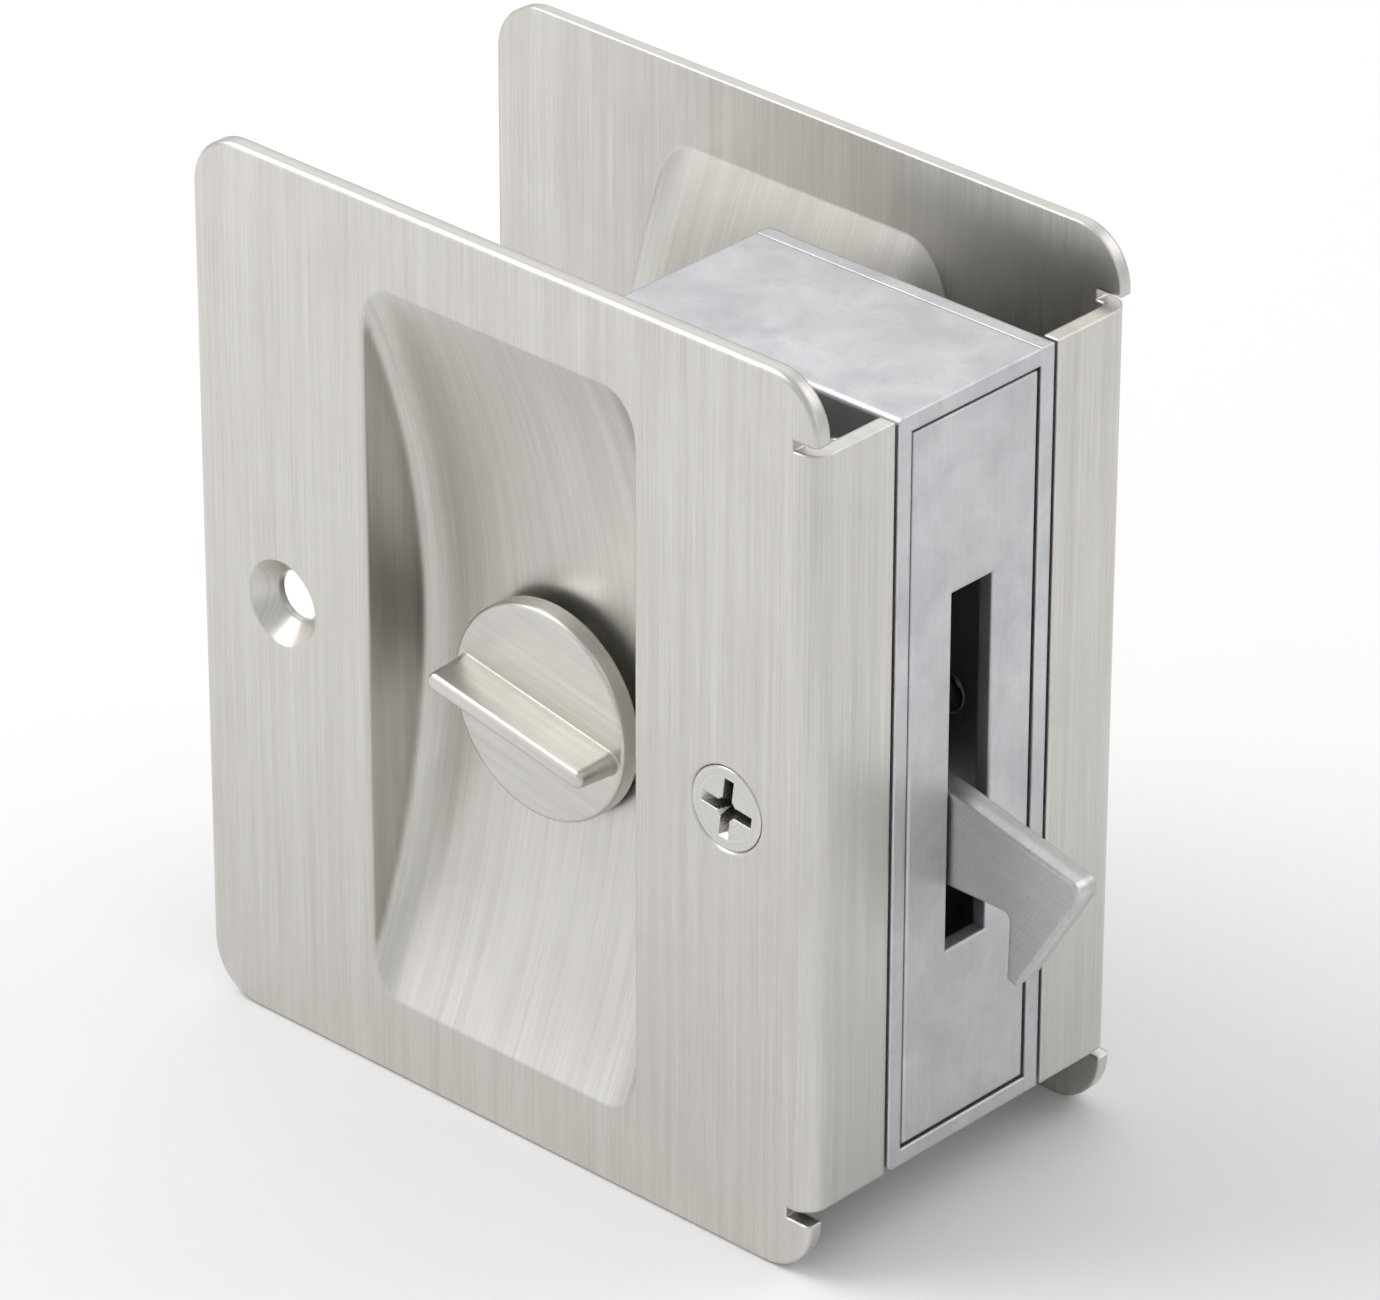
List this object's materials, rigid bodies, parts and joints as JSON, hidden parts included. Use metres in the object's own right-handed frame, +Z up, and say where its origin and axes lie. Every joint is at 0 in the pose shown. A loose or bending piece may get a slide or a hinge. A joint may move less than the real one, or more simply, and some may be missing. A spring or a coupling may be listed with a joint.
{
  "type": "door lock pull",
  "caption": "Flush sliding-door privacy lock: scooped cup plates folded round the door edge, a case between them, and a hook that a thumb-turn swings out of the edge.",
  "frame": {"origin": "on the edge face of the lock, in the door's mid-plane, at mid-height", "axes": "+X out of the door edge, +Y from the front plate (thumb-turn) to the rear plate, +Z up"},
  "size_m": [0.0835, 0.038, 0.0826],
  "materials": {
    "satin_nickel": "satin nickel plate, fine vertical brushing",
    "zinc_steel": "clear zinc plated sheet steel",
    "hook_steel": "blanked and tumbled steel",
    "screw_plate": "nickel plated machine screw",
    "bright_steel": "turned bright steel",
    "spring_steel": "tempered spring steel"
  },
  "bodies": {
    "lock": {"front_plate": "satin_nickel", "rear_plate": "satin_nickel", "lock_case": "zinc_steel", "case_cover": "zinc_steel", "edge_panel": "zinc_steel", "front_rivets": "bright_steel", "back_rivets": "bright_steel", "hook_pivot_pin": "bright_steel", "front_spacer": "bright_steel", "rear_spacer": "bright_steel", "detent_leaf": "spring_steel", "front_post": "bright_steel", "rear_post": "bright_steel", "front_plate_screw": "screw_plate", "rear_plate_screw": "screw_plate"},
    "turn": {"thumb_turn": "satin_nickel", "thumb_turn_washer": "spring_steel", "thumb_turn_clip": "spring_steel", "spindle": "bright_steel", "hub": "hook_steel", "emergency_turn": "satin_nickel", "emergency_washer": "spring_steel", "emergency_clip": "spring_steel"},
    "hook_bolt": {"hook": "hook_steel"}
  },
  "joints": [
    {"name": "thumb_turn", "type": "hinge", "parent": "lock", "child": "turn", "pos_m": [-0.03492, 0, -0.0028], "axis": [0, 1, 0], "range_deg": [0, 90], "deforming": ["detent_leaf"]},
    {"name": "hook_swing", "type": "hinge", "parent": "lock", "child": "hook_bolt", "pos_m": [-0.014, 0, -0.012], "axis": [0, 1, 0], "range_deg": [-67.5, 0]}
  ],
  "couplings": [
    {"joint": "hook_swing", "follows": "thumb_turn", "ratio": -0.75}
  ]
}
